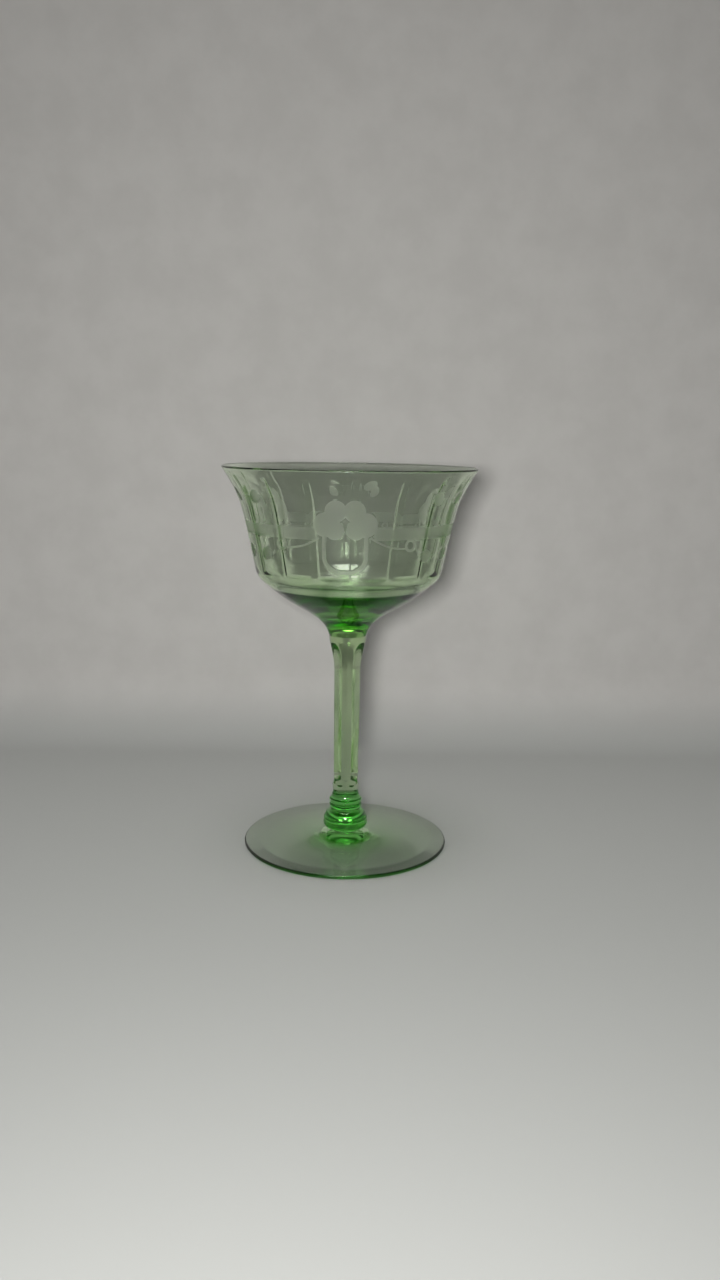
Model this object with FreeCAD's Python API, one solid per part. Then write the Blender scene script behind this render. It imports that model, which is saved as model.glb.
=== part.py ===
import FreeCAD, Part
import math
import os

os.makedirs("parts", exist_ok=True)

# Millimetres. The glass stands on z = 0 with its axis on z; its front faces -y.
V = FreeCAD.Vector
AXIS = V(0, 0, 1)
ORIGIN = V(0, 0, 0)

# Overall sizes
total_height = 134.0
rim_radius = 43.5
lip_radius = 0.55          # the fire-polished lip is a half round
foot_radius = 36.25

# Heights where one gather of glass is joined to the next
z_bowl_stem = 75.7
z_stem_collar = 18.6
z_collar_knop = 12.3
z_knop_foot = 5.2

# Radii of those joints
r_bowl_stem = 6.48
r_stem_collar = 4.45
r_collar_knop = 5.35
r_knop_foot = 6.2

# Bowl walls, as (radius, height) points of smooth curves
bell_outside = [(43.42, 133.25), (41.0, 129.4), (39.1, 126.0), (37.5, 122.3), (36.15, 117.5),
                (34.95, 112.4), (33.95, 107.9), (33.1, 103.8), (32.4, 100.3)]
shoulder_outside = [(32.4, 100.3), (31.75, 97.7), (29.9, 95.1)]
cone_outside = [(29.9, 95.1), (27.3, 92.9), (23.9, 90.2), (20.4, 87.85), (16.9, 85.8), (13.4, 83.75),
                (9.9, 81.1), (7.76, 78.6), (r_bowl_stem, z_bowl_stem)]
bell_inside = [(42.6, 133.68), (40.15, 129.85), (38.12, 126.42), (36.4, 122.62), (34.9, 117.6),
               (33.6, 112.5), (32.55, 108.0), (31.65, 103.9), (30.9, 100.4)]
shoulder_inside = [(30.9, 100.4), (30.45, 98.3), (29.0, 96.2)]
cone_inside = [(29.0, 96.2), (27.2, 94.65), (25.5, 93.2)]
well_inside = [(25.5, 93.2), (22.0, 91.6), (17.0, 89.9), (10.0, 88.9), (0.0, 88.6)]

# Upright optic flutes moulded on the inside of the bell
flute_count = 16
flute_turn = 3.0           # degrees that one ridge is turned from the front
flute_radius = 23.0
flute_levels = [(94.2, 25.6, -2.6), (97.4, 29.6, -0.45), (99.6, 30.72, 0.3), (103.9, 31.65, 0.4),
                (108.0, 32.55, 0.4), (112.5, 33.6, 0.4), (117.6, 34.9, 0.4), (122.6, 36.4, 0.38),
                (126.42, 38.12, 0.28), (129.85, 40.15, 0.04), (132.6, 41.9, -1.0), (135.0, 43.0, -3.0)]

# Wheel-cut decoration, repeated round the outside of the bell
spray_count = 3
spray_turn = -2.0          # degrees that one spray is turned from the front
cut_depth = 0.14
band_low = 112.0
band_high = 116.0
petals = [(-6.4, 117.0, 3.9), (6.4, 117.0, 3.9), (-3.0, 121.3, 3.5), (3.0, 121.3, 3.5),
          (-3.3, 115.2, 3.0), (3.3, 115.2, 3.0)]
buds = [(-22.0, 110.2, 2.2), (22.0, 110.2, 2.2), (-29.3, 106.3, 2.2), (29.3, 106.3, 2.2),
        (-33.6, 124.9, 2.2), (33.6, 124.9, 2.2)]
loop_half_width = 7.3
loop_top = 112.6
loop_spring = 106.5
loop_bottom = 100.9
stalk_points = [(8.5, 112.6), (14.0, 110.0), (19.6, 109.2)]
loop_line = 1.3
stalk_line = 0.7

# Stem
stem_facets = 6
stem_side = [(r_bowl_stem, z_bowl_stem), (6.4, 73.9), (6.02, 70.3), (5.42, 64.0), (5.16, 52.0),
             (5.02, 38.0), (4.97, 24.5), (4.75, 21.0), (r_stem_collar, z_stem_collar)]
facet_low = (4.27, 24.5)   # distance of a flat from the axis, and its height
facet_high = (4.5, 62.0)
facet_end_low = (5.6, 20.4)
facet_end_high = (6.9, 75.2)

# Collar, knop and foot
collar_ring = 5.75
knop_radius = 7.9
foot_edge = 1.3
foot_ring_inside = 30.0
foot_hollow = 1.0


def flat_points(points):
    """Points in the half plane y = 0 from (radius, height) pairs."""
    return [V(r, 0, z) for r, z in points]


def curve(points):
    """A smooth edge through the points."""
    spline = Part.BSplineCurve()
    spline.interpolate(flat_points(points))
    return spline.toShape()


def arc(a, b, c):
    """A round edge through three (radius, height) points."""
    p, q, r = flat_points([a, b, c])
    return Part.Arc(p, q, r).toShape()


def line(a, b):
    p, q = flat_points([a, b])
    return Part.LineSegment(p, q).toShape()


def turned(edges):
    """The solid turned about the axis from a closed outline."""
    face = Part.Face(Part.Wire(edges))
    solid = face.revolve(ORIGIN, AXIS, 360)
    return Part.Solid(solid.Shells[0]) if solid.ShapeType != "Solid" else solid


def placed(shape, degrees):
    copy = shape.copy()
    copy.rotate(ORIGIN, AXIS, degrees)
    return copy


def between(points, height):
    """The radius at a height, read between (radius, height) points."""
    ordered = sorted(points, key=lambda p: p[1])
    for (r0, z0), (r1, z1) in zip(ordered, ordered[1:]):
        if z0 <= height <= z1:
            return r0 + (r1 - r0) * (height - z0) / (z1 - z0)
    return ordered[-1][0] if height > ordered[-1][1] else ordered[0][0]


def bowl_blank():
    """The blown bowl with its thick base, before the flutes and the cutting."""
    lip_top = (rim_radius - lip_radius, total_height)
    edges = [curve(bell_outside), arc(*shoulder_outside), curve(cone_outside)]
    edges.append(line((r_bowl_stem, z_bowl_stem), (0, z_bowl_stem)))
    edges.append(line((0, z_bowl_stem), (0, well_inside[-1][1])))
    edges.append(curve(list(reversed(well_inside))))
    edges.append(curve(list(reversed(cone_inside))))
    edges.append(arc(*reversed(shoulder_inside)))
    edges.append(curve(list(reversed(bell_inside))))
    edges.append(arc(bell_inside[0], lip_top, bell_outside[0]))
    return turned(edges)


def flute():
    """One upright hollow that is taken from the inside of the bell."""
    sections = []
    for height, wall, depth in flute_levels:
        centre = V(wall + depth - flute_radius, 0, height)
        ring = Part.Circle(centre, AXIS, flute_radius).toShape()
        sections.append(Part.Wire([ring]))
    return Part.makeLoft(sections, True, False)


def skin():
    """The thin outer layer of the bell that the cutting wheel takes off."""
    inner = [(r - cut_depth, z) for r, z in bell_outside]
    top, low = inner[0], inner[-1]
    far = rim_radius + 3
    edges = [curve(inner), line(low, (far, low[1])), line((far, low[1]), (far, top[1])), line((far, top[1]), top)]
    return turned(edges)


def outward(shape):
    """A flat shape in the plane y = 0, pushed out towards the front through the wall."""
    shape.translate(V(0, -20, 0))
    return shape.extrude(V(0, -30, 0))


def disc_tool(across, height, reach):
    """A round print, across millimetres round from the middle of its spray."""
    wall = between(bell_outside, height)
    ring = Part.Circle(V(0, 0, height), V(0, 1, 0), reach).toShape()
    return placed(outward(Part.Face(Part.Wire([ring]))), math.degrees(across / wall))


def hanging_outline(half_width, drop):
    """An upright outline with straight sides and a half ellipse under them."""
    left, right = V(-half_width, 0, loop_spring), V(half_width, 0, loop_spring)
    top_left, top_right = V(-half_width, 0, loop_top), V(half_width, 0, loop_top)
    if drop >= half_width:
        oval = Part.Ellipse(V(0, 0, loop_spring - drop), right, V(0, 0, loop_spring))
    else:
        oval = Part.Ellipse(right, V(0, 0, loop_spring - drop), V(0, 0, loop_spring))
    lower = Part.makeBox(2 * half_width, 2, drop + 1, V(-half_width, -1, loop_spring - drop - 1))
    half = Part.Face(Part.Wire([oval.toShape()])).common(lower)
    sides = Part.Face(Part.makePolygon([left, right, top_right, top_left, left]))
    return half.fuse(sides).removeSplitter().Faces[0]


def loop_tool():
    """The hanging loop under a blossom: a ribbon between two such outlines."""
    outer = hanging_outline(loop_half_width, loop_spring - loop_bottom)
    inner = hanging_outline(loop_half_width - loop_line, loop_spring - loop_bottom - loop_line)
    return outward(outer.cut(inner).Faces[0])


def stalk_tool(side):
    """A thin bowed stalk from the loop to a bud."""
    (a0, h0), (a1, h1), (a2, h2) = stalk_points
    turn = math.degrees(a1 / between(bell_outside, h1))
    wide = stalk_line / 2
    over = Part.Arc(V(a0 - a1, 0, h0 + wide), V(0, 0, h1 + wide), V(a2 - a1, 0, h2 + wide)).toShape()
    under = Part.Arc(V(a2 - a1, 0, h2 - wide), V(0, 0, h1 - wide), V(a0 - a1, 0, h0 - wide)).toShape()
    first = Part.LineSegment(V(a2 - a1, 0, h2 + wide), V(a2 - a1, 0, h2 - wide)).toShape()
    last = Part.LineSegment(V(a0 - a1, 0, h0 - wide), V(a0 - a1, 0, h0 + wide)).toShape()
    tool = placed(outward(Part.Face(Part.Wire([over, first, under, last]))), turn)
    return tool if side > 0 else tool.mirror(ORIGIN, V(1, 0, 0))


def band_cut():
    """The shallow ground band, for one spray's share of the way round."""
    low = between(bell_outside, band_low)
    high = between(bell_outside, band_high)
    edges = [line((low - cut_depth, band_low), (high - cut_depth, band_high)),
             line((high - cut_depth, band_high), (high + 1, band_high)),
             line((high + 1, band_high), (low + 1, band_low)),
             line((low + 1, band_low), (low - cut_depth, band_low))]
    share = 360.0 / spray_count
    clear = 14.5
    face = Part.Face(Part.Wire(edges))
    return placed(face.revolve(ORIGIN, AXIS, share - 2 * clear), clear - 90)


def make_bowl():
    bowl = bowl_blank()
    step = 360.0 / flute_count
    tool = flute()
    for n in range(flute_count):
        bowl = bowl.cut(placed(tool, flute_turn - 90 + step * (n + 0.5)))
    tools = [disc_tool(*print_) for print_ in petals + buds]
    tools += [loop_tool(), stalk_tool(1), stalk_tool(-1)]
    layer = skin()
    spray = Part.makeCompound([layer.common(tool) for tool in tools] + [band_cut()])
    for n in range(spray_count):
        turned_spray = placed(spray, spray_turn + 360.0 * n / spray_count)
        for piece in turned_spray.Solids:
            bowl = bowl.cut(piece)
    return bowl


def facet_tool():
    """A slab that grinds one flat with a curved run-out at each end."""
    low_mid = (4.55, 21.6)
    high_mid = (5.3, 70.0)
    edges = [arc(facet_end_low, low_mid, facet_low), line(facet_low, facet_high),
             arc(facet_high, high_mid, facet_end_high), line(facet_end_high, (9, 75.2)),
             line((9, 75.2), (9, 20.4)), line((9, 20.4), facet_end_low)]
    face = Part.Face(Part.Wire(edges))
    face.translate(V(0, -9, 0))
    return face.extrude(V(0, 18, 0))


def make_stem():
    """The drawn stem: round at both ends, six-sided between, an edge to the front."""
    edges = [curve(stem_side), line((r_stem_collar, z_stem_collar), (0, z_stem_collar)),
             line((0, z_stem_collar), (0, z_bowl_stem)), line((0, z_bowl_stem), stem_side[0])]
    stem = turned(edges)
    for n in range(stem_facets):
        stem = stem.cut(placed(facet_tool(), 60.0 * n))
    return stem


def make_collar():
    """The small turned collar with two beads under the stem."""
    top, low, mid = z_stem_collar, z_collar_knop, 14.9
    edges = [line((0, top), (r_stem_collar, top)),
             arc((r_stem_collar, top), (5.0, 17.2), (5.2, 16.6)),
             arc((5.2, 16.6), (collar_ring, 15.7), (5.4, mid)),
             arc((5.4, mid), (collar_ring, 13.8), (5.45, 13.0)),
             line((5.45, 13.0), (r_collar_knop, low)),
             line((r_collar_knop, low), (0, low)), line((0, low), (0, top))]
    return turned(edges)


def make_knop():
    """The flattened ball with two beads at its widest part."""
    top, low = z_collar_knop, z_knop_foot
    edges = [line((0, top), (r_collar_knop, top)),
             arc((r_collar_knop, top), (6.5, 11.45), (7.3, 9.7)),
             arc((7.3, 9.7), (knop_radius - 0.1, 9.0), (7.45, 8.1)),
             arc((7.45, 8.1), (knop_radius, 7.0), (7.5, 6.0)),
             line((7.5, 6.0), (r_knop_foot, low)),
             line((r_knop_foot, low), (0, low)), line((0, low), (0, top))]
    return turned(edges)


def make_foot():
    """The pressed foot: a thin disc rising to the knop, hollow underneath."""
    edge_in = foot_radius - foot_edge / 2
    top = [(r_knop_foot, z_knop_foot), (7.7, 4.5), (10.2, 3.85), (15.0, 3.15), (23.0, 2.4), (edge_in, foot_edge)]
    round_edge = arc((edge_in, foot_edge), (foot_radius, foot_edge / 2), (edge_in, 0))
    ball = (foot_ring_inside ** 2 + foot_hollow ** 2) / (2 * foot_hollow)
    halfway = foot_hollow - ball + math.sqrt(ball ** 2 - foot_ring_inside ** 2 / 4)
    under = arc((foot_ring_inside, 0), (foot_ring_inside / 2, halfway), (0, foot_hollow))
    edges = [line((0, z_knop_foot), (r_knop_foot, z_knop_foot)), curve(top), round_edge,
             line((edge_in, 0), (foot_ring_inside, 0)), under,
             line((0, foot_hollow), (0, z_knop_foot))]
    return turned(edges)


nodes = {
    "bowl": make_bowl(),
    "stem": make_stem(),
    "stem_collar": make_collar(),
    "knop": make_knop(),
    "foot": make_foot(),
}

for name, shape in nodes.items():
    solids = shape.Solids
    print(name, "solids", len(solids), "valid", shape.isValid(), "volume", round(shape.Volume, 1),
          "faces", len(shape.Faces), "height", round(shape.BoundBox.ZMin, 3), round(shape.BoundBox.ZMax, 3))
    solids[0].exportStep("parts/" + name + ".step")
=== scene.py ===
"""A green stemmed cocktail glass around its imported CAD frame.

Bowl, stem, collar, knop and foot are closed meshes of clear glass, tinted by their depth, that meet across
thin air gaps. The bowl has flutes inside and matt ground sprays outside.
"""

import bpy
import math
import numpy as np
from mathutils import Matrix, Vector


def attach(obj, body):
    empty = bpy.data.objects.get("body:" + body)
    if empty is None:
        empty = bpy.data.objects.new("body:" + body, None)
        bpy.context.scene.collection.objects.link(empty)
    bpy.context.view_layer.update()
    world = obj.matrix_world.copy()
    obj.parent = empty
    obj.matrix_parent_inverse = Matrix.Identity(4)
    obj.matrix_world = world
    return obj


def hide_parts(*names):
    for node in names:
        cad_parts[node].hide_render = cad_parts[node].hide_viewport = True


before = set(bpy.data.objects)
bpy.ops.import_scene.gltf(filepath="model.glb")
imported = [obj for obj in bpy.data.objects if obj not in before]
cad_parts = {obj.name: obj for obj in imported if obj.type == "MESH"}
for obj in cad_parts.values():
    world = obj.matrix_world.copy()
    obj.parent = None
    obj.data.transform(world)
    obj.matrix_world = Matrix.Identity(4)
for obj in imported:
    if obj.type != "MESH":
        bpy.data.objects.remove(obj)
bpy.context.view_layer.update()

MM = 0.001
LEVEL, NEAR = 0.99, 0.05   # how level a face is, and how near a joint in mm, to be part of it
FAR = 9.0                  # a distance in mm that means "nowhere near the ground decoration"

# ---------------------------------------------------------------- sizes, in millimetres
JOINT_GAP = 0.01           # half the air left between two pieces that meet
Z_BOWL, Z_STEM, Z_COLLAR, Z_KNOP = 75.7, 18.6, 12.3, 5.2
R_BOWL, R_STEM, R_COLLAR, R_KNOP = 6.48, 4.45, 5.35, 6.2
RIM_RADIUS, LIP_RADIUS, HEIGHT = 43.5, 0.55, 134.0
FOOT_RADIUS, FOOT_EDGE, FOOT_FLAT, FOOT_HOLLOW = 36.25, 1.3, 30.0, 1.0
KNOP_RADIUS, COLLAR_RING = 7.9, 5.75

# the two rings of the collar and of the knop, bottom to top, each turned through its widest point
COLLAR_FOOT, COLLAR_DIP, COLLAR_NECK, COLLAR_WAIST = (5.45, 13.0), (5.4, 14.9), (5.2, 16.6), (5.0, 17.2)
COLLAR_RING_LOW, COLLAR_RING_HIGH = (COLLAR_RING, 13.8), (COLLAR_RING, 15.7)
KNOP_FOOT, KNOP_DIP, KNOP_NECK, KNOP_SHOULDER = (7.5, 6.0), (7.45, 8.1), (7.3, 9.7), (6.5, 11.45)
KNOP_RING_LOW, KNOP_RING_HIGH = (KNOP_RADIUS, 7.0), (KNOP_RADIUS - 0.1, 9.0)
FOOT_TOP = [(7.7, 4.5), (10.2, 3.85), (15.0, 3.15), (23.0, 2.4)]

BELL_OUT = [(43.42, 133.25), (41.0, 129.4), (39.1, 126.0), (37.5, 122.3), (36.15, 117.5),
            (34.95, 112.4), (33.95, 107.9), (33.1, 103.8), (32.4, 100.3)]
SHOULDER_OUT = [(32.4, 100.3), (31.75, 97.7), (29.9, 95.1)]
CONE_OUT = [(29.9, 95.1), (27.3, 92.9), (23.9, 90.2), (20.4, 87.85), (16.9, 85.8), (13.4, 83.75),
            (9.9, 81.1), (7.76, 78.6), (R_BOWL, Z_BOWL)]
BELL_IN = [(42.6, 133.68), (40.15, 129.85), (38.12, 126.42), (36.4, 122.62), (34.9, 117.6),
           (33.6, 112.5), (32.55, 108.0), (31.65, 103.9), (30.9, 100.4)]
SHOULDER_IN = [(30.9, 100.4), (30.45, 98.3), (29.0, 96.2)]
CONE_IN = [(29.0, 96.2), (27.2, 94.65), (25.5, 93.2)]
WELL_IN = [(25.5, 93.2), (22.0, 91.6), (17.0, 89.9), (10.0, 88.9), (0.0, 88.6)]

FLUTES, FLUTE_TURN, FLUTE_RADIUS, FLUTE_EDGE = 16, 3.0, 23.0, 0.03
# the raised ridge between two flutes: its two ends and how far each fades, its height, half its top
# and the width of its flank
RIB_LOW, RIB_HIGH, RIB_FADE_LOW, RIB_FADE_HIGH = 98.4, 131.5, 2.5, 1.6
RIB_RISE, RIB_FLAT, RIB_FLANK = 0.24, 0.8, 0.8
FLUTE_DEPTH = [(94.2, -2.6), (97.4, -0.45), (99.6, 0.3), (103.9, 0.4), (117.6, 0.4), (122.6, 0.38),
               (126.4, 0.28), (129.85, 0.04), (132.6, -1.0), (135.0, -3.0)]

SPRAYS, SPRAY_TURN = 3, -2.0
CUT_DEPTH, CUT_OUTSIDE, CUT_INSIDE = 0.14, 0.12, 0.3
BELL_START = 98.5
BAND_LOW, BAND_HIGH, BAND_BREAK = 112.0, 116.0, 9.2
# a petal or bud: how far it is to the side of the spray's middle, its height and its radius
PETALS = [(-6.4, 117.0, 3.9), (6.4, 117.0, 3.9), (-3.0, 121.3, 3.5), (3.0, 121.3, 3.5),
          (-3.3, 115.2, 3.0), (3.3, 115.2, 3.0)]
BUDS = [(22.0, 110.2, 2.2), (29.3, 106.3, 2.2), (33.6, 124.9, 2.2)]
LOOP_HALF, LOOP_TOP, LOOP_SPRING, LOOP_LOW, LOOP_LINE = 7.3, 112.6, 106.5, 100.9, 1.3
STALK = [(8.5, 112.6), (14.0, 110.0), (19.6, 109.2)]
STALK_LINE = 0.7
LINK, LINK_LINE = [(35.0, 124.8), (40.0, 124.8)], 0.4
BUD_STRETCH, BUD_RING = 1.15, 1.0

STEM_SIDE = [(R_BOWL, Z_BOWL), (6.4, 73.9), (6.02, 70.3), (5.42, 64.0), (5.16, 52.0), (5.02, 38.0),
             (4.97, 24.5), (4.75, 21.0), (R_STEM, Z_STEM)]
FACETS = 6
FACET_LOW, FACET_HIGH = (4.27, 24.5), (4.5, 62.0)
FACET_RUNOUT_LOW = [(5.6, 20.4), (4.55, 21.6), FACET_LOW]
FACET_RUNOUT_HIGH = [FACET_HIGH, (5.3, 70.0), (6.9, 75.2)]

# how far hand-finished glass strays from a true surface, and where it starts and stops doing so
WALL_WAVE, WELL_WAVE, STEM_WAVE, FOOT_WAVE = 0.02, 0.03, 0.012, 0.025
WALL_TRUE_BELOW, WALL_TRUE_ABOVE, WELL_TOP = 78.0, 133.5, 97.0
STEM_TRUE_BELOW, STEM_TRUE_ABOVE = 19.5, 74.5
FOOT_TRUE_INSIDE, FOOT_TRUE_OUTSIDE = 8.0, 35.0


# ---------------------------------------------------------------- curves
def smooth(points, count):
    """A natural cubic curve through (radius, height) points, as count points spaced by chord."""
    p = np.array(points, float)
    t = np.concatenate([[0], np.cumsum(np.linalg.norm(np.diff(p, axis=0), axis=1))])
    n, h = len(p), np.diff(t)
    system, right = np.eye(n), np.zeros_like(p)
    for i in range(1, n - 1):
        system[i, i - 1], system[i, i], system[i, i + 1] = h[i - 1], 2 * (h[i - 1] + h[i]), h[i]
        right[i] = 6 * ((p[i + 1] - p[i]) / h[i] - (p[i] - p[i - 1]) / h[i - 1])
    bend = np.linalg.solve(system, right)
    s = np.linspace(0, t[-1], count)
    i = np.clip(np.searchsorted(t, s, side="right") - 1, 0, n - 2)
    a, b = ((t[i + 1] - s) / h[i])[:, None], ((s - t[i]) / h[i])[:, None]
    curved = ((a**3 - a) * bend[i] + (b**3 - b) * bend[i + 1]) * (h[i] ** 2)[:, None] / 6
    return a * p[i] + b * p[i + 1] + curved


def arc(a, b, c, count, end=True):
    """The circle through three (radius, height) points, from a to c."""
    a, b, c = (np.array(v, float) for v in (a, b, c))
    d = 2 * (a[0] * (b[1] - c[1]) + b[0] * (c[1] - a[1]) + c[0] * (a[1] - b[1]))
    sq = [v @ v for v in (a, b, c)]
    middle = np.array([
        (sq[0] * (b[1] - c[1]) + sq[1] * (c[1] - a[1]) + sq[2] * (a[1] - b[1])) / d,
        (sq[0] * (c[0] - b[0]) + sq[1] * (a[0] - c[0]) + sq[2] * (b[0] - a[0])) / d])
    first, mid, last = (math.atan2(*(v - middle)[::-1]) for v in (a, b, c))
    full = 2 * math.pi
    if not (mid - first) % full < (last - first) % full:
        span = (last - first) % full - full
    else:
        span = (last - first) % full
    turn = first + span * np.linspace(0, 1, count, endpoint=end)
    return middle + np.linalg.norm(a - middle) * np.stack([np.cos(turn), np.sin(turn)], 1)


def straight(a, b, count, end=True):
    s = np.linspace(0, 1, count, endpoint=end)[:, None]
    return np.array(a, float) * (1 - s) + np.array(b, float) * s


def soft_max(a, b, round_by):
    """The larger of two, with the corner between them rounded off."""
    gap = np.clip(0.5 + (a - b) / (2 * round_by), 0, 1)
    return b + (a - b) * gap + round_by * gap * (1 - gap)


def soft_step(x, low, high):
    s = np.clip((x - low) / (high - low), 0, 1)
    return s * s * (3 - 2 * s)


# ---------------------------------------------------------------- meshes
def mark_joints(mesh, joints):
    """Sets the attribute "joined" on the level faces that lie at one of these heights."""
    count = len(mesh.polygons)
    middle, normal = np.zeros(count * 3), np.zeros(count * 3)
    mesh.polygons.foreach_get("center", middle)
    mesh.polygons.foreach_get("normal", normal)
    middle, normal = middle.reshape(-1, 3) / MM, normal.reshape(-1, 3)
    met = np.zeros(count, bool)
    for z in joints:
        met |= (np.abs(normal[:, 2]) > LEVEL) & (np.abs(middle[:, 2] - z) < NEAR)
    mesh.attributes.new("joined", "FLOAT", "FACE").data.foreach_set("value", met.astype(float))


def turned_piece(name, rings, around, joints=(), shape=None, extra=None, sharp=40):
    """A closed mesh of rings about the axis.

    rings: (radius, height) rows, the first and last on the axis. joints: the heights of flat ends where it
    meets a neighbour. shape(angle, radius, height, row) gives the moved radius and height, and extra(...)
    gives values for each point by attribute name. sharp: the fold in degrees that shows as an edge.
    """
    rings = np.array(rings, float)
    angle = np.arange(around) * 2 * math.pi / around - math.pi / 2
    body = rings[1:-1]
    radius = np.repeat(body[:, :1], around, 1)
    height = np.repeat(body[:, 1:], around, 1)
    turn = np.repeat(angle[None], len(body), 0)
    row = np.repeat(np.arange(len(body))[:, None], around, 1)
    if shape is not None:
        radius, height = shape(turn, radius, height, row)
    xyz = np.stack([radius * np.cos(turn), radius * np.sin(turn), height], 2).reshape(-1, 3)
    ends = [(0, 0, rings[0, 1]), (0, 0, rings[-1, 1])]
    points = np.vstack([xyz, ends]) * MM
    k, low, high = len(body), len(xyz), len(xyz) + 1
    faces = [(low, (j + 1) % around, j) for j in range(around)]
    for i in range(k - 1):
        a, b = i * around, (i + 1) * around
        faces += [(a + j, a + (j + 1) % around, b + (j + 1) % around, b + j) for j in range(around)]
    last = (k - 1) * around
    faces += [(last + j, last + (j + 1) % around, high) for j in range(around)]
    mesh = bpy.data.meshes.new(name)
    mesh.from_pydata(points.tolist(), [], faces)
    mesh.polygons.foreach_set("use_smooth", np.ones(len(faces), bool))
    mesh.set_sharp_from_angle(angle=math.radians(sharp))
    mark_joints(mesh, joints)
    for label, values in (extra(turn, radius, height, row) if extra else {}).items():
        both = np.concatenate([values.reshape(-1), [FAR, FAR]])
        mesh.attributes.new(label, "FLOAT", "POINT").data.foreach_set("value", both)
    piece = bpy.data.objects.new(name, mesh)
    bpy.context.scene.collection.objects.link(piece)
    return piece


def waves(turn, height, size, seed):
    """Slow unevenness of hand-finished glass, in millimetres."""
    rng = np.random.default_rng(seed)
    total = np.zeros_like(turn)
    for k in range(1, 8):
        a, b, c = rng.uniform(0, 2 * math.pi, 3)
        around = np.sin((k % 5 + 1) * turn + a)
        up = np.sin(height * (0.12 + 0.06 * k) + b)
        total += around * up * np.cos(c) / k**0.5
    return total * size


# ---------------------------------------------------------------- bowl
def radius_at(points, height):
    p = np.array(sorted(points, key=lambda q: q[1]))
    return np.interp(height, p[:, 1], p[:, 0])


def flute_wall(turn, radius, height):
    """The radius of the inside wall, with upright flutes taken out of it and a low ridge between them."""
    pitch = 2 * math.pi / FLUTES
    start = math.radians(FLUTE_TURN - 90)
    off = (turn - start) % pitch - pitch / 2
    depth = np.interp(height, *np.array(FLUTE_DEPTH).T)
    centre = radius + depth - FLUTE_RADIUS
    wall = centre * np.cos(off) + np.sqrt(FLUTE_RADIUS**2 - (centre * np.sin(off)) ** 2)
    from_ridge = (pitch / 2 - np.abs(off)) * radius
    upright = soft_step(height, RIB_LOW, RIB_LOW + RIB_FADE_LOW)
    upright = upright * soft_step(RIB_HIGH - height, 0, RIB_FADE_HIGH)
    rib = RIB_RISE * (1 - soft_step(from_ridge, RIB_FLAT, RIB_FLAT + RIB_FLANK)) * upright
    return soft_max(wall, radius, FLUTE_EDGE) - rib


def to_path(u, v, path):
    """Distance from each point to a run of straight pieces."""
    best = np.full(u.shape, 1e3)
    for (x0, y0), (x1, y1) in zip(path, path[1:]):
        along = ((u - x0) * (x1 - x0) + (v - y0) * (y1 - y0)) / ((x1 - x0) ** 2 + (y1 - y0) ** 2)
        along = np.clip(along, 0, 1)
        best = np.minimum(best, np.hypot(u - x0 - along * (x1 - x0), v - y0 - along * (y1 - y0)))
    return best


def loop_path():
    """The middle line of the hanging loop under a blossom."""
    half, low = LOOP_HALF - LOOP_LINE / 2, LOOP_LOW + LOOP_LINE / 2
    turn = np.linspace(0, math.pi, 19)
    under = [(-half * math.cos(t), LOOP_SPRING - (LOOP_SPRING - low) * math.sin(t)) for t in turn]
    return [(-half, LOOP_TOP), *under, (half, LOOP_TOP)]


def ground_cut(turn, height):
    """How far each point is from the ground band and from the sprays, in mm, less than 0 inside them."""
    pitch = 2 * math.pi / SPRAYS
    off = (turn - math.radians(SPRAY_TURN - 90) + pitch / 2) % pitch - pitch / 2
    u, v = off * radius_at(BELL_OUT, height), height
    side = np.abs(u)
    band = np.abs(v - (BAND_LOW + BAND_HIGH) / 2) - (BAND_HIGH - BAND_LOW) / 2
    band = np.maximum(band, BAND_BREAK - side)
    edge = np.full(u.shape, FAR)
    for x, z, r in PETALS:
        edge = np.minimum(edge, np.hypot(u - x, v - z) - r)
    edge = np.minimum(edge, to_path(u, v, loop_path()) - LOOP_LINE / 2)
    for n, (x, z, r) in enumerate(BUDS):
        first = n == 0
        bud = np.hypot((side - x) / (1 if first else BUD_STRETCH), v - z) - r
        edge = np.minimum(edge, np.maximum(bud, -bud - BUD_RING) if first else bud)
    stalk = smooth(STALK, 7)
    edge = np.minimum(edge, to_path(side, v, [tuple(q) for q in stalk]) - STALK_LINE / 2)
    edge = np.minimum(edge, to_path(side, v, LINK) - LINK_LINE / 2)
    return band, edge


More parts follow.
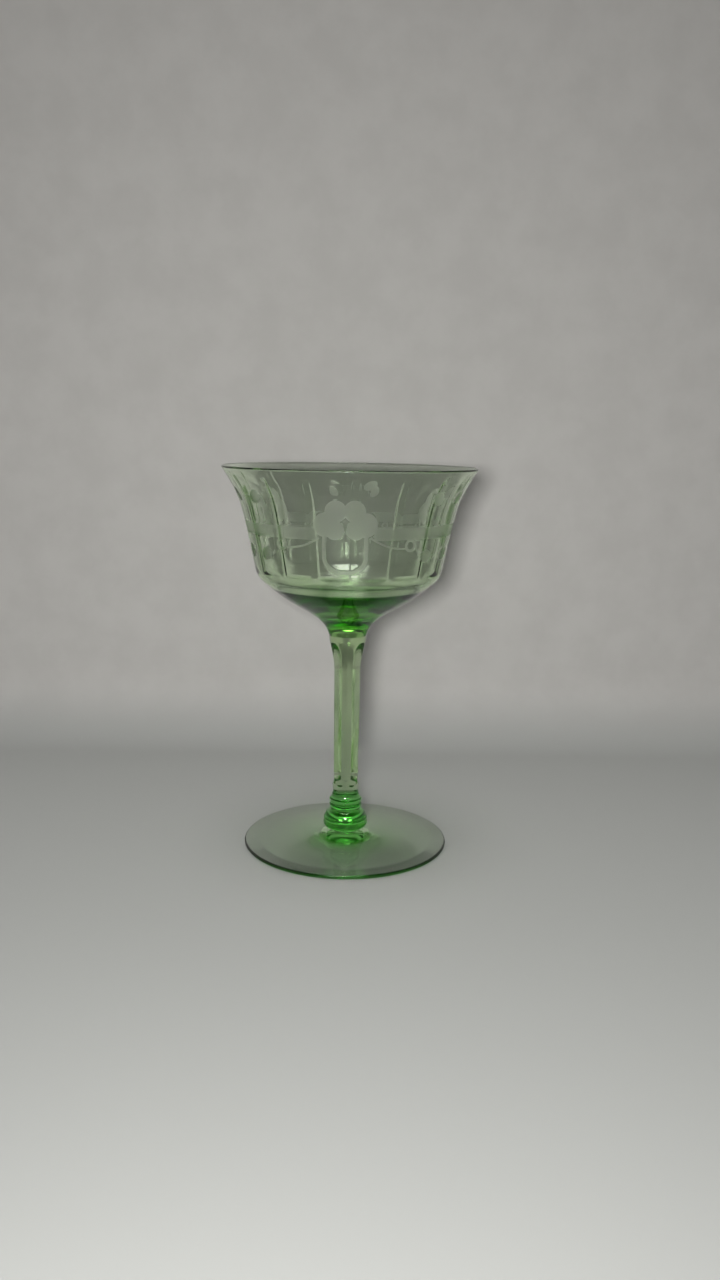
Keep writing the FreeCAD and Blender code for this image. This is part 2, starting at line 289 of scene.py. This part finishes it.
def bowl():
    low = Z_BOWL + JOINT_GAP
    lower = [(R_BOWL * f, low) for f in (0, 0.25, 0.5, 0.75, 0.95)]
    cone = smooth(CONE_OUT, 34)[::-1]
    cone[0, 1] += JOINT_GAP
    shoulder = arc(*SHOULDER_OUT[::-1], 14)[1:]
    bell = smooth(BELL_OUT, 78)[::-1][1:]
    lip = arc(BELL_OUT[0], (RIM_RADIUS - LIP_RADIUS, HEIGHT), BELL_IN[0], 11)[1:]
    inner = smooth(BELL_IN, 46)[1:]
    turn_in = arc(*SHOULDER_IN, 8)[1:]
    cone_in = smooth(CONE_IN, 6)[1:]
    well = smooth(WELL_IN, 16)[1:]
    rings = np.vstack([lower, cone, shoulder, bell, lip, inner, turn_in, cone_in, well])
    outside = len(lower) + len(cone) + len(shoulder) + len(bell) - 1
    inside = outside + len(lip)

    def shape(turn, radius, height, row):
        out = row < outside
        cut = soft_step(-np.minimum(*ground_cut(turn, height)), -CUT_OUTSIDE, CUT_INSIDE)
        bell_part = soft_step(height, BELL_START, BELL_START + 2)
        moved = np.where(out, radius - CUT_DEPTH * cut * bell_part, radius)
        moved = np.where(row >= inside, flute_wall(turn, radius, height), moved)
        soft = soft_step(height, WALL_TRUE_BELOW, WALL_TRUE_BELOW + 6)
        soft = soft * soft_step(WALL_TRUE_ABOVE - height, 0, 4)
        moved = moved + waves(turn, height, WALL_WAVE, 3) * soft * np.where(out, 1, 0.6)
        well_part = (row >= inside) & (height < WELL_TOP)
        lifted = waves(turn, radius, WELL_WAVE, 5) * soft_step(radius, 2, 8)
        height = height + np.where(well_part, lifted, 0)
        return moved, height

    def extra(turn, radius, height, row):
        marks = zip(("band_mm", "spray_mm"), ground_cut(turn, height))
        bell = (row < outside) & (height > BELL_START)
        return {name: np.where(bell, edge, FAR) for name, edge in marks}

    return turned_piece("bowl_blown", rings, 768, joints=[low], shape=shape, extra=extra)


# ---------------------------------------------------------------- stem, collar, knop and foot
def stem():
    top, low = Z_BOWL - JOINT_GAP, Z_STEM + JOINT_GAP
    side = smooth(STEM_SIDE, 150)[::-1]
    side[0, 1], side[-1, 1] = low, top
    rings = np.vstack([[(0, low)], [(R_STEM * f, low) for f in (0.4, 0.8)], side,
                       [(R_BOWL * f, top) for f in (0.8, 0.4)], [(0, top)]])
    flat = np.vstack([arc(*FACET_RUNOUT_LOW, 24, end=False), straight(FACET_LOW, FACET_HIGH, 24, end=False),
                      arc(*FACET_RUNOUT_HIGH, 24)])

    def shape(turn, radius, height, row):
        pitch = 2 * math.pi / FACETS
        off = (turn + pitch / 2) % pitch - pitch / 2
        away = np.interp(height, flat[:, 1], flat[:, 0], left=9, right=9) / np.cos(off)
        on_side = (row >= 2) & (row < 2 + len(side))
        cut = -soft_max(-radius, -away, 0.05)
        moved = np.where(on_side, np.minimum(cut, radius), radius)
        soft = soft_step(height, STEM_TRUE_BELOW, 24) * soft_step(STEM_TRUE_ABOVE - height, 0, 4)
        return moved + waves(turn, height * 0.8, STEM_WAVE, 11) * soft * on_side, height

    return turned_piece("stem_drawn", rings, 240, joints=[top, low], shape=shape, sharp=48)


def collar():
    top, low = Z_STEM - JOINT_GAP, Z_COLLAR + JOINT_GAP
    side = np.vstack([
        straight((R_COLLAR, low), COLLAR_FOOT, 6, end=False),
        arc(COLLAR_FOOT, COLLAR_RING_LOW, COLLAR_DIP, 18, end=False),
        arc(COLLAR_DIP, COLLAR_RING_HIGH, COLLAR_NECK, 18, end=False),
        arc(COLLAR_NECK, COLLAR_WAIST, (R_STEM, top), 14)])
    rings = np.vstack([[(0, low)], [(R_COLLAR * f, low) for f in (0.4, 0.8)], side,
                       [(R_STEM * f, top) for f in (0.8, 0.4)], [(0, top)]])
    return turned_piece("collar_turned", rings, 192, joints=[top, low])


def knop():
    top, low = Z_COLLAR - JOINT_GAP, Z_KNOP + JOINT_GAP
    side = np.vstack([
        straight((R_KNOP, low), KNOP_FOOT, 8, end=False),
        arc(KNOP_FOOT, KNOP_RING_LOW, KNOP_DIP, 18, end=False),
        arc(KNOP_DIP, KNOP_RING_HIGH, KNOP_NECK, 16, end=False),
        arc(KNOP_NECK, KNOP_SHOULDER, (R_COLLAR, top), 20)])
    rings = np.vstack([[(0, low)], [(R_KNOP * f, low) for f in (0.4, 0.8)], side,
                       [(R_COLLAR * f, top) for f in (0.8, 0.4)], [(0, top)]])
    return turned_piece("knop_turned", rings, 224, joints=[top, low])


def foot():
    top = Z_KNOP - JOINT_GAP
    edge_in = FOOT_RADIUS - FOOT_EDGE / 2
    upper = smooth([(R_KNOP, top), *FOOT_TOP, (edge_in, FOOT_EDGE)], 60)[::-1]
    ball = (FOOT_FLAT**2 + FOOT_HOLLOW**2) / (2 * FOOT_HOLLOW)
    r = np.linspace(0, FOOT_FLAT, 34)
    under = np.stack([r, FOOT_HOLLOW - ball + np.sqrt(ball**2 - r**2)], 1)
    ring = straight((FOOT_FLAT, 0), (edge_in, 0), 8)[1:]
    edge = arc((edge_in, 0), (FOOT_RADIUS, FOOT_EDGE / 2), (edge_in, FOOT_EDGE), 14)[1:]
    rings = np.vstack([under, ring, edge, upper[1:], [(R_KNOP * f, top) for f in (0.8, 0.4)], [(0, top)]])
    start = len(under) + len(ring) + len(edge) - 1

    def shape(turn, radius, height, row):
        soft = soft_step(radius, FOOT_TRUE_INSIDE, 14) * soft_step(FOOT_TRUE_OUTSIDE - radius, 0, 4)
        soft = soft * (row >= start)
        return radius, height + waves(turn, radius, FOOT_WAVE, 23) * soft

    return turned_piece("foot_pressed", rings, 384, joints=[top], shape=shape)


# ---------------------------------------------------------------- glass
GLASS_IOR, GLASS_TONE, SMEAR_ROUGHNESS = 1.5, (0.985, 1.0, 0.985, 1), 0.02
BAND_ROUGHNESS, SPRAY_ROUGHNESS = (0.36, 0.43), (0.44, 0.58)
RAGGED = 0.06              # how far the grit strays over a cut's edge, in mm
GRIT_HEIGHT = 0.00003      # in metres
GRIT_SCALE, CLOUD_SCALE, SMEAR_SCALE = 2600, 260, 70


def link(tree, a, b):
    tree.links.new(a, b)


def maths(tree, kind, a, b=None, c=None, clamp=False):
    node = tree.nodes.new("ShaderNodeMath")
    node.operation, node.use_clamp = kind, clamp
    for socket, value in zip(node.inputs, (a, b, c)):
        if value is None:
            continue
        if isinstance(value, (int, float)):
            socket.default_value = value
        else:
            link(tree, value, socket)
    return node.outputs[0]


def attribute(tree, name):
    node = tree.nodes.new("ShaderNodeAttribute")
    node.attribute_name = name
    return node.outputs["Fac"]


def noise(tree, scale, detail, at, rough=0.5):
    node = tree.nodes.new("ShaderNodeTexNoise")
    node.inputs["Scale"].default_value = scale
    node.inputs["Detail"].default_value = detail
    node.inputs["Roughness"].default_value = rough
    link(tree, at, node.inputs["Vector"])
    return node.outputs["Fac"]


def spread(tree, value, low, high, to_low, to_high):
    node = tree.nodes.new("ShaderNodeMapRange")
    node.interpolation_type = "SMOOTHSTEP"
    for k, v in zip(("From Min", "From Max", "To Min", "To Max"), (low, high, to_low, to_high)):
        node.inputs[k].default_value = v
    link(tree, value, node.inputs["Value"])
    return node.outputs["Result"]


def ground(tree, place, rough):
    """The roughness and normal of glass that is matt and gritty inside the band and the sprays."""
    grain = noise(tree, GRIT_SCALE, 3, place, 0.7)
    cloud = noise(tree, CLOUD_SCALE, 2, place)
    matt = 0.0
    for label, (low, high) in (("band_mm", BAND_ROUGHNESS), ("spray_mm", SPRAY_ROUGHNESS)):
        edge = attribute(tree, label)
        ragged = maths(tree, "MULTIPLY_ADD", maths(tree, "SUBTRACT", grain, 0.5), 2 * RAGGED, edge)
        inside = spread(tree, ragged, -RAGGED, RAGGED, 1.0, 0.0)
        patch = spread(tree, cloud, 0.35, 0.7, low, high)
        rough = maths(tree, "MAXIMUM", rough, maths(tree, "MULTIPLY", inside, patch))
        matt = maths(tree, "MAXIMUM", inside, matt)
    bump = tree.nodes.new("ShaderNodeBump")
    bump.inputs["Strength"].default_value = 0.35
    bump.inputs["Distance"].default_value = GRIT_HEIGHT
    link(tree, maths(tree, "MULTIPLY", matt, grain), bump.inputs["Height"])
    return rough, bump.outputs["Normal"]


def glass(name, absorb, cut=False):
    """Green glass, tinted by its depth. absorb: what a metre of it takes from red, green and blue.

    Faces marked "joined", where two pieces meet, bend no light. cut: with matt ground decoration.
    """
    made = bpy.data.materials.new(name)
    made.use_nodes = True
    tree = made.node_tree
    tree.nodes.clear()
    out = tree.nodes.new("ShaderNodeOutputMaterial")
    p = tree.nodes.new("ShaderNodeBsdfPrincipled")
    place = tree.nodes.new("ShaderNodeTexCoord").outputs["Object"]
    p.inputs["Base Color"].default_value = GLASS_TONE
    p.inputs["Transmission Weight"].default_value = 1.0
    p.inputs["Metallic"].default_value = 0.0
    met = attribute(tree, "joined")
    link(tree, maths(tree, "MULTIPLY_ADD", met, 1 - GLASS_IOR, GLASS_IOR), p.inputs["IOR"])
    # faint wipe marks and dust: a little gloss lost in soft patches
    marks = noise(tree, SMEAR_SCALE, 3, place, 0.6)
    rough = spread(tree, marks, 0.52, 0.78, 0.0, SMEAR_ROUGHNESS)
    if cut:
        rough, normal = ground(tree, place, rough)
        link(tree, normal, p.inputs["Normal"])
    rough = maths(tree, "MULTIPLY", rough, maths(tree, "SUBTRACT", 1.0, met))
    link(tree, rough, p.inputs["Roughness"])
    depth = tree.nodes.new("ShaderNodeVolumeAbsorption")
    density = max(absorb) / 0.9
    depth.inputs["Density"].default_value = density
    depth.inputs["Color"].default_value = (*[1 - a / density for a in absorb], 1)
    link(tree, p.outputs["BSDF"], out.inputs["Surface"])
    link(tree, depth.outputs["Volume"], out.inputs["Volume"])
    return made


BOWL_GLASS = glass("bowl_green_glass", (88, 34, 128), cut=True)
STEM_GLASS = glass("stem_green_glass", (46, 21, 70))
KNOP_GLASS = glass("knop_green_glass", (120, 24, 140))
FOOT_GLASS = glass("foot_green_glass", (42, 12, 54))

for piece, node, slot, look in (
    (bowl(), "bowl", "bowl_glass", BOWL_GLASS),
    (stem(), "stem", "stem_glass", STEM_GLASS),
    (collar(), "stem_collar", "stem_glass", KNOP_GLASS),
    (knop(), "knop", "stem_glass", KNOP_GLASS),
    (foot(), "foot", "foot_glass", FOOT_GLASS),
):
    piece.data.materials.append(look)
    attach(piece, "root")
    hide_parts(node)


# ---------------------------------------------------------------- stage, in metres
FLOOR_NEAR, WALL_BEHIND, STAGE_HALF_WIDTH, STAGE_HEIGHT, STAGE_BEND = 1.6, 0.135, 1.8, 1.6, 0.03
# the room's glow and its tone are painted light: an emission that brightens its walls and floor in place of
# lamp light
ROOM_HALF_WIDTH, ROOM_NEAR, ROOM_PAINTED_GLOW = 1.75, 1.58, 0.09
FLOOR_DROP, ROOM_DROP = 0.00003, 0.0002    # keep the floors just clear of the foot and of each other
FLOOR_TONE, ROOM_TONE, ROOM_PAINTED_GLOW_TONE = (0.40, 0.41, 0.40, 1), (0.6, 0.6, 0.59, 1), (1.0, 0.99, 0.97, 1)
WALL_TONES = (0.575, 0.565, 0.55, 1), (0.615, 0.605, 0.59, 1)
WORLD_TONE, WORLD_STRENGTH = (0.95, 0.97, 1.0, 1), 0.012


def backdrop(near, far, wide, tall, bend):
    """A floor that curves up into a wall behind the glass."""
    line = [(-near, 0.0)] + [(-near + (near + far - bend) * k / 6, 0.0) for k in range(1, 7)]
    quarter = np.linspace(0, math.pi / 2, 14)[1:]
    line += [(far - bend + bend * math.sin(t), bend - bend * math.cos(t)) for t in quarter]
    line += [(far, bend + (tall - bend) * k / 4) for k in range(1, 5)]
    points = [(x, y, z - FLOOR_DROP) for y, z in line for x in (-wide, wide)]
    faces = [(2 * i, 2 * i + 1, 2 * i + 3, 2 * i + 2) for i in range(len(line) - 1)]
    mesh = bpy.data.meshes.new("backdrop")
    mesh.from_pydata(points, [], faces)
    mesh.polygons.foreach_set("use_smooth", np.ones(len(faces), bool))
    sweep = bpy.data.objects.new("backdrop", mesh)
    bpy.context.scene.collection.objects.link(sweep)
    sweep.data.materials.append(backdrop_paint(bend))
    return sweep


def backdrop_paint(bend):
    """Mottled matt paint, darker on the floor and clear from the back of the wall."""
    paint = bpy.data.materials.new("backdrop_paint")
    paint.use_nodes = True
    tree = paint.node_tree
    p = tree.nodes["Principled BSDF"]
    p.inputs["Roughness"].default_value = 0.75
    place = tree.nodes.new("ShaderNodeTexCoord").outputs["Object"]
    tone = spread(tree, noise(tree, 45, 5, place, 0.6), 0.3, 0.7, 0.0, 1.0)
    mix = tree.nodes.new("ShaderNodeMix")
    mix.data_type = "RGBA"
    mix.inputs["A"].default_value, mix.inputs["B"].default_value = WALL_TONES
    link(tree, tone, mix.inputs["Factor"])
    shade = tree.nodes.new("ShaderNodeMix")
    shade.data_type = "RGBA"
    shade.inputs["A"].default_value = FLOOR_TONE
    upright = tree.nodes.new("ShaderNodeSeparateXYZ")
    link(tree, place, upright.inputs["Vector"])
    link(tree, spread(tree, upright.outputs["Z"], 0.0, bend, 0.0, 1.0), shade.inputs["Factor"])
    link(tree, mix.outputs["Result"], shade.inputs["B"])
    link(tree, shade.outputs["Result"], p.inputs["Base Color"])
    # the wall stands close behind the glass, so it is clear from its back
    choose = tree.nodes.new("ShaderNodeMixShader")
    clear = tree.nodes.new("ShaderNodeBsdfTransparent")
    link(tree, tree.nodes.new("ShaderNodeNewGeometry").outputs["Backfacing"], choose.inputs["Fac"])
    link(tree, p.outputs["BSDF"], choose.inputs[1])
    link(tree, clear.outputs["BSDF"], choose.inputs[2])
    link(tree, choose.outputs["Shader"], tree.nodes["Material Output"].inputs["Surface"])
    return paint


def room(half, near, far, tall, painted_glow):
    """Pale walls at both sides and behind the camera, and a floor beyond the backdrop, all with a faint
    glow: painted light in place of lamp light on them.
    """
    corners = [(-half, far), (-half, -near), (half, -near), (half, far)]
    points = [(x, y, z) for x, y in corners for z in (0, tall)]
    points += [(x, y, -ROOM_DROP) for x, y in ((-half, far), (half, far), (half, near), (-half, near))]
    sides = [(2 * i, 2 * i + 1, 2 * i + 3, 2 * i + 2) for i in range(3)]
    mesh = bpy.data.meshes.new("room")
    mesh.from_pydata(points, [], [*sides, (8, 9, 10, 11)])
    walls = bpy.data.objects.new("room", mesh)
    bpy.context.scene.collection.objects.link(walls)
    paint = bpy.data.materials.new("room_paint")
    paint.use_nodes = True
    p = paint.node_tree.nodes["Principled BSDF"]
    p.inputs["Base Color"].default_value = ROOM_TONE
    # painted light: the walls and floor glow faintly in place of being lit by a lamp
    p.inputs["Emission Color"].default_value = ROOM_PAINTED_GLOW_TONE
    p.inputs["Emission Strength"].default_value = painted_glow
    walls.data.materials.append(paint)
    return walls


backdrop(FLOOR_NEAR, WALL_BEHIND, STAGE_HALF_WIDTH, STAGE_HEIGHT, STAGE_BEND)
room(ROOM_HALF_WIDTH, ROOM_NEAR, WALL_BEHIND, STAGE_HEIGHT, ROOM_PAINTED_GLOW)


def area(name, place, aim, size, power, colour, spread_by=math.pi):
    """A round lamp that the camera doesn't see."""
    lamp = bpy.data.lights.new(name, "AREA")
    lamp.shape, lamp.size, lamp.energy, lamp.color = "DISK", size, power, colour
    lamp.spread = spread_by
    ob = bpy.data.objects.new(name, lamp)
    ob.location = place
    ob.rotation_mode = "QUATERNION"
    ob.rotation_quaternion = (Vector(aim) - Vector(place)).to_track_quat("-Z", "Y")
    ob.visible_camera = False
    bpy.context.scene.collection.objects.link(ob)


KEY_PLACE, KEY_AIM, KEY_SIZE, KEY_POWER = (-0.018, -0.39, 0.153), (0, 0, 0.09), 0.035, 1.22
TOP_PLACE, TOP_AIM, TOP_SIZE, TOP_POWER = (-0.02, -0.09, 1.1), (0, -0.05, 0), 0.8, 0.6
KEY_COLOUR, TOP_COLOUR, TOP_SPREAD = (1.0, 0.985, 0.96), (1.0, 0.99, 0.97), math.radians(30)
area("key_by_camera", KEY_PLACE, KEY_AIM, KEY_SIZE, KEY_POWER, KEY_COLOUR)
area("soft_top", TOP_PLACE, TOP_AIM, TOP_SIZE, TOP_POWER, TOP_COLOUR, TOP_SPREAD)

world = bpy.data.worlds.new("room")
world.use_nodes = True
world.node_tree.nodes["Background"].inputs["Color"].default_value = WORLD_TONE
world.node_tree.nodes["Background"].inputs["Strength"].default_value = WORLD_STRENGTH

scene = bpy.context.scene
scene.world = world
scene.view_settings.view_transform = "Standard"
scene.view_settings.look = "None"
scene.cycles.max_bounces = 32
scene.cycles.transmission_bounces = 28
scene.cycles.glossy_bounces = 12
scene.cycles.diffuse_bounces = 4
scene.cycles.transparent_max_bounces = 16
scene.cycles.caustics_reflective = True
scene.cycles.caustics_refractive = True
scene.cycles.blur_glossy = 0.1
scene.cycles.sample_clamp_indirect = 8.0
scene.cycles.use_denoising = True

# ---------------------------------------------------------------- camera
LENS, SENSOR, CAMERA_PLACE = 30.2, 36.0, (0, -0.3695, 0.1459)
PITCH, YAW, ROLL = math.radians(11.03), math.radians(0.67), math.radians(0.92)
camera = bpy.data.objects.new("camera", bpy.data.cameras.new("camera"))
camera.data.lens, camera.data.sensor_width, camera.data.sensor_fit = LENS, SENSOR, "AUTO"
camera.data.clip_start, camera.data.clip_end = 0.01, 20
camera.rotation_mode = "QUATERNION"
turned = Matrix.Rotation(-YAW, 3, "Z") @ Matrix.Rotation(math.pi / 2 - PITCH, 3, "X")
camera.rotation_quaternion = (turned @ Matrix.Rotation(ROLL, 3, "Z")).to_quaternion()
camera.location = CAMERA_PLACE
scene.collection.objects.link(camera)
scene.camera = camera
